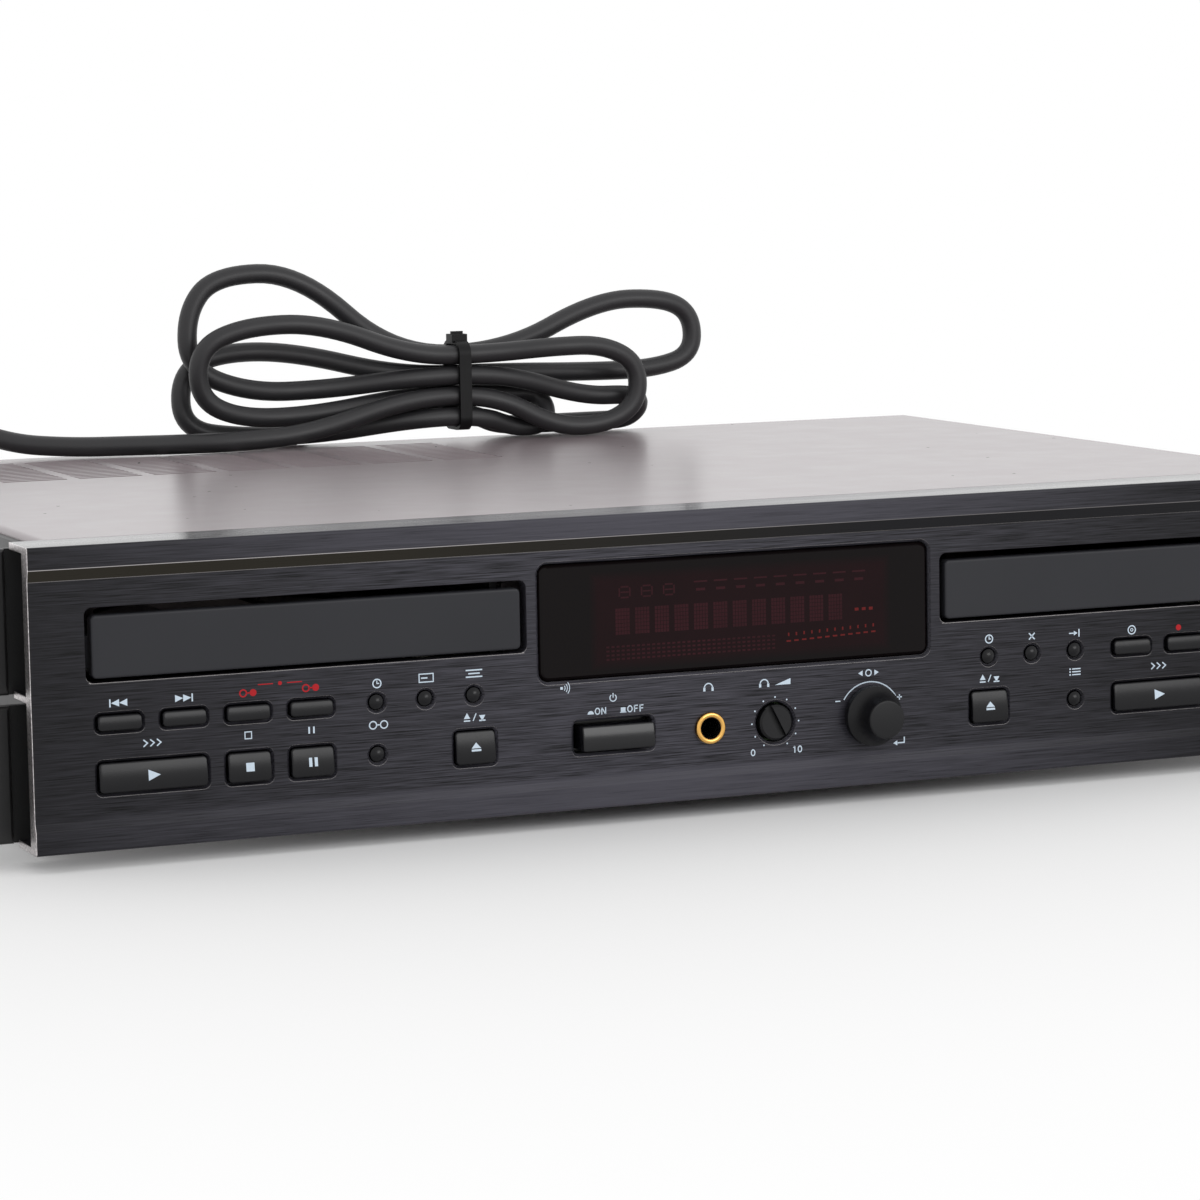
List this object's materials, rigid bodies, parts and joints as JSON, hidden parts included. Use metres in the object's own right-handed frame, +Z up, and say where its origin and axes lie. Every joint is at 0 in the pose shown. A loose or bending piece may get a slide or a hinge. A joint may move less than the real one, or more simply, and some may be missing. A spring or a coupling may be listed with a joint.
{
  "type": "rack-mount cd recorder",
  "caption": "Two-unit rack recorder with sliding disc drawers either side of a display, rows of push keys, a jog knob, a level knob, slotted ears and a tied mains lead.",
  "frame": {"origin": "middle of the unit's footprint, without its lead, on the surface that the feet stand on", "axes": "+X to the right of someone facing the panel, +Y from the panel to the rear, +Z up"},
  "size_m": [0.4826, 0.4117, 0.1595],
  "materials": {
    "panel": "black anodised, brushed along its length",
    "cover": "satin black",
    "chassis": "satin black",
    "ears": "satin black",
    "window": "smoked red-brown",
    "keys": "satin black",
    "power_key": "metallic grey",
    "knobs": "satin black",
    "doors": "satin black",
    "trays": "fine grain",
    "drive": "moulded",
    "boards": "laminate",
    "core": "laminated",
    "jack": "plated",
    "screws": "blackened",
    "feet": "matte",
    "cord": "matte black",
    "tie": "satin black"
  },
  "bodies": {
    "housing": {"front_panel": "panel", "display_window": "window", "bottom_chassis": "chassis", "top_cover": "cover", "rear_panel": "chassis", "rack_ear_left": "ears", "rack_ear_right": "ears", "feet": "feet", "case_screws": "screws", "control_board": "boards", "main_board": "boards", "mains_transformer": "core", "phones_jack": "jack", "rear_sockets": "jack", "cord_relief": "cord", "mains_lead": "cord", "cord_hank": "cord", "cord_tail": "cord", "cord_tie": "tie", "mains_plug": "cord", "drive_frame_left": "drive", "drive_frame_right": "drive"},
    "previous_key_left": {"previous_key_left": "keys"},
    "next_key_left": {"next_key_left": "keys"},
    "copy_key": {"copy_key": "keys"},
    "copy_fast_key": {"copy_fast_key": "keys"},
    "play_key_left": {"play_key_left": "keys"},
    "stop_key_left": {"stop_key_left": "keys"},
    "pause_key_left": {"pause_key_left": "keys"},
    "open_key_left": {"open_key_left": "keys"},
    "round_key_left_1": {"round_key_left_1": "keys"},
    "round_key_left_2": {"round_key_left_2": "keys"},
    "round_key_left_3": {"round_key_left_3": "keys"},
    "round_key_left_4": {"round_key_left_4": "keys"},
    "finalize_key": {"finalize_key": "keys"},
    "record_key": {"record_key": "keys"},
    "previous_key_right": {"previous_key_right": "keys"},
    "next_key_right": {"next_key_right": "keys"},
    "play_key_right": {"play_key_right": "keys"},
    "stop_key_right": {"stop_key_right": "keys"},
    "pause_key_right": {"pause_key_right": "keys"},
    "open_key_right": {"open_key_right": "keys"},
    "round_key_right_1": {"round_key_right_1": "keys"},
    "round_key_right_2": {"round_key_right_2": "keys"},
    "round_key_right_3": {"round_key_right_3": "keys"},
    "round_key_right_4": {"round_key_right_4": "keys"},
    "power_key": {"power_key": "power_key"},
    "level_knob": {"level_knob": "knobs"},
    "jog_knob": {"jog_knob": "knobs"},
    "jog_shaft": {"jog_shaft": "screws"},
    "drawer_left": {"disc_tray_left": "trays", "tray_door_left": "doors"},
    "gear_left": {"tray_gear_left": "drive"},
    "turntable_left": {"turntable_left": "drive"},
    "sled_left": {"pickup_sled_left": "drive"},
    "drawer_right": {"disc_tray_right": "trays", "tray_door_right": "doors"},
    "gear_right": {"tray_gear_right": "drive"},
    "turntable_right": {"turntable_right": "drive"},
    "sled_right": {"pickup_sled_right": "drive"}
  },
  "joints": [
    {"name": "drawer_left_slide", "type": "slide", "parent": "housing", "child": "drawer_left", "axis": [0, -1, 0], "range_m": [0, 0.145]},
    {"name": "gear_left_turn", "type": "hinge", "parent": "housing", "child": "gear_left", "pos_m": [-0.0896, -0.1154, 0.055], "axis": [0, 0, -1], "range_deg": [0, 1045]},
    {"name": "turntable_left_spin", "type": "hinge", "parent": "housing", "child": "turntable_left", "pos_m": [-0.1356, -0.0694, 0.053], "axis": [0, 0, 1], "continuous": true},
    {"name": "sled_left_slide", "type": "slide", "parent": "housing", "child": "sled_left", "axis": [0, 1, 0], "range_m": [0, 0.03]},
    {"name": "drawer_right_slide", "type": "slide", "parent": "housing", "child": "drawer_right", "axis": [0, -1, 0], "range_m": [0, 0.145]},
    {"name": "gear_right_turn", "type": "hinge", "parent": "housing", "child": "gear_right", "pos_m": [0.1816, -0.1154, 0.055], "axis": [0, 0, -1], "range_deg": [0, 1045]},
    {"name": "turntable_right_spin", "type": "hinge", "parent": "housing", "child": "turntable_right", "pos_m": [0.1356, -0.0694, 0.053], "axis": [0, 0, 1], "continuous": true},
    {"name": "sled_right_slide", "type": "slide", "parent": "housing", "child": "sled_right", "axis": [0, 1, 0], "range_m": [0, 0.03]},
    {"name": "previous_key_left_press", "type": "slide", "parent": "housing", "child": "previous_key_left", "axis": [0, 1, 0], "range_m": [0, 0.0005], "stiffness_N_per_m": 800, "springref_m": -0.0005},
    {"name": "next_key_left_press", "type": "slide", "parent": "housing", "child": "next_key_left", "axis": [0, 1, 0], "range_m": [0, 0.0005], "stiffness_N_per_m": 800, "springref_m": -0.0005},
    {"name": "copy_key_press", "type": "slide", "parent": "housing", "child": "copy_key", "axis": [0, 1, 0], "range_m": [0, 0.0005], "stiffness_N_per_m": 800, "springref_m": -0.0005},
    {"name": "copy_fast_key_press", "type": "slide", "parent": "housing", "child": "copy_fast_key", "axis": [0, 1, 0], "range_m": [0, 0.0005], "stiffness_N_per_m": 800, "springref_m": -0.0005},
    {"name": "play_key_left_press", "type": "slide", "parent": "housing", "child": "play_key_left", "axis": [0, 1, 0], "range_m": [0, 0.0005], "stiffness_N_per_m": 800, "springref_m": -0.0005},
    {"name": "stop_key_left_press", "type": "slide", "parent": "housing", "child": "stop_key_left", "axis": [0, 1, 0], "range_m": [0, 0.0005], "stiffness_N_per_m": 800, "springref_m": -0.0005},
    {"name": "pause_key_left_press", "type": "slide", "parent": "housing", "child": "pause_key_left", "axis": [0, 1, 0], "range_m": [0, 0.0005], "stiffness_N_per_m": 800, "springref_m": -0.0005},
    {"name": "open_key_left_press", "type": "slide", "parent": "housing", "child": "open_key_left", "axis": [0, 1, 0], "range_m": [0, 0.0005], "stiffness_N_per_m": 800, "springref_m": -0.0005},
    {"name": "round_key_left_1_press", "type": "slide", "parent": "housing", "child": "round_key_left_1", "axis": [0, 1, 0], "range_m": [0, 0.0005], "stiffness_N_per_m": 800, "springref_m": -0.0005},
    {"name": "round_key_left_2_press", "type": "slide", "parent": "housing", "child": "round_key_left_2", "axis": [0, 1, 0], "range_m": [0, 0.0005], "stiffness_N_per_m": 800, "springref_m": -0.0005},
    {"name": "round_key_left_3_press", "type": "slide", "parent": "housing", "child": "round_key_left_3", "axis": [0, 1, 0], "range_m": [0, 0.0005], "stiffness_N_per_m": 800, "springref_m": -0.0005},
    {"name": "round_key_left_4_press", "type": "slide", "parent": "housing", "child": "round_key_left_4", "axis": [0, 1, 0], "range_m": [0, 0.0005], "stiffness_N_per_m": 800, "springref_m": -0.0005},
    {"name": "finalize_key_press", "type": "slide", "parent": "housing", "child": "finalize_key", "axis": [0, 1, 0], "range_m": [0, 0.0005], "stiffness_N_per_m": 800, "springref_m": -0.0005},
    {"name": "record_key_press", "type": "slide", "parent": "housing", "child": "record_key", "axis": [0, 1, 0], "range_m": [0, 0.0005], "stiffness_N_per_m": 800, "springref_m": -0.0005},
    {"name": "previous_key_right_press", "type": "slide", "parent": "housing", "child": "previous_key_right", "axis": [0, 1, 0], "range_m": [0, 0.0005], "stiffness_N_per_m": 800, "springref_m": -0.0005},
    {"name": "next_key_right_press", "type": "slide", "parent": "housing", "child": "next_key_right", "axis": [0, 1, 0], "range_m": [0, 0.0005], "stiffness_N_per_m": 800, "springref_m": -0.0005},
    {"name": "play_key_right_press", "type": "slide", "parent": "housing", "child": "play_key_right", "axis": [0, 1, 0], "range_m": [0, 0.0005], "stiffness_N_per_m": 800, "springref_m": -0.0005},
    {"name": "stop_key_right_press", "type": "slide", "parent": "housing", "child": "stop_key_right", "axis": [0, 1, 0], "range_m": [0, 0.0005], "stiffness_N_per_m": 800, "springref_m": -0.0005},
    {"name": "pause_key_right_press", "type": "slide", "parent": "housing", "child": "pause_key_right", "axis": [0, 1, 0], "range_m": [0, 0.0005], "stiffness_N_per_m": 800, "springref_m": -0.0005},
    {"name": "open_key_right_press", "type": "slide", "parent": "housing", "child": "open_key_right", "axis": [0, 1, 0], "range_m": [0, 0.0005], "stiffness_N_per_m": 800, "springref_m": -0.0005},
    {"name": "round_key_right_1_press", "type": "slide", "parent": "housing", "child": "round_key_right_1", "axis": [0, 1, 0], "range_m": [0, 0.0005], "stiffness_N_per_m": 800, "springref_m": -0.0005},
    {"name": "round_key_right_2_press", "type": "slide", "parent": "housing", "child": "round_key_right_2", "axis": [0, 1, 0], "range_m": [0, 0.0005], "stiffness_N_per_m": 800, "springref_m": -0.0005},
    {"name": "round_key_right_3_press", "type": "slide", "parent": "housing", "child": "round_key_right_3", "axis": [0, 1, 0], "range_m": [0, 0.0005], "stiffness_N_per_m": 800, "springref_m": -0.0005},
    {"name": "round_key_right_4_press", "type": "slide", "parent": "housing", "child": "round_key_right_4", "axis": [0, 1, 0], "range_m": [0, 0.0005], "stiffness_N_per_m": 800, "springref_m": -0.0005},
    {"name": "power_key_press", "type": "slide", "parent": "housing", "child": "power_key", "axis": [0, 1, 0], "range_m": [0, 0.0035], "stiffness_N_per_m": 300, "springref_m": -0.001},
    {"name": "level_knob_turn", "type": "hinge", "parent": "housing", "child": "level_knob", "pos_m": [0.0122, -0.1484, 0.0266], "axis": [0, 1, 0], "range_deg": [-150, 150]},
    {"name": "jog_press", "type": "slide", "parent": "housing", "child": "jog_shaft", "axis": [0, 1, 0], "range_m": [0, 0.0008], "stiffness_N_per_m": 800, "springref_m": -0.0005},
    {"name": "jog_turn", "type": "hinge", "parent": "jog_shaft", "child": "jog_knob", "pos_m": [0.0442, -0.1544, 0.0266], "axis": [0, 1, 0], "continuous": true}
  ],
  "couplings": [
    {"joint": "gear_left_turn", "follows": "drawer_left_slide", "rad_per_m": 125},
    {"joint": "gear_right_turn", "follows": "drawer_right_slide", "rad_per_m": 125}
  ]
}
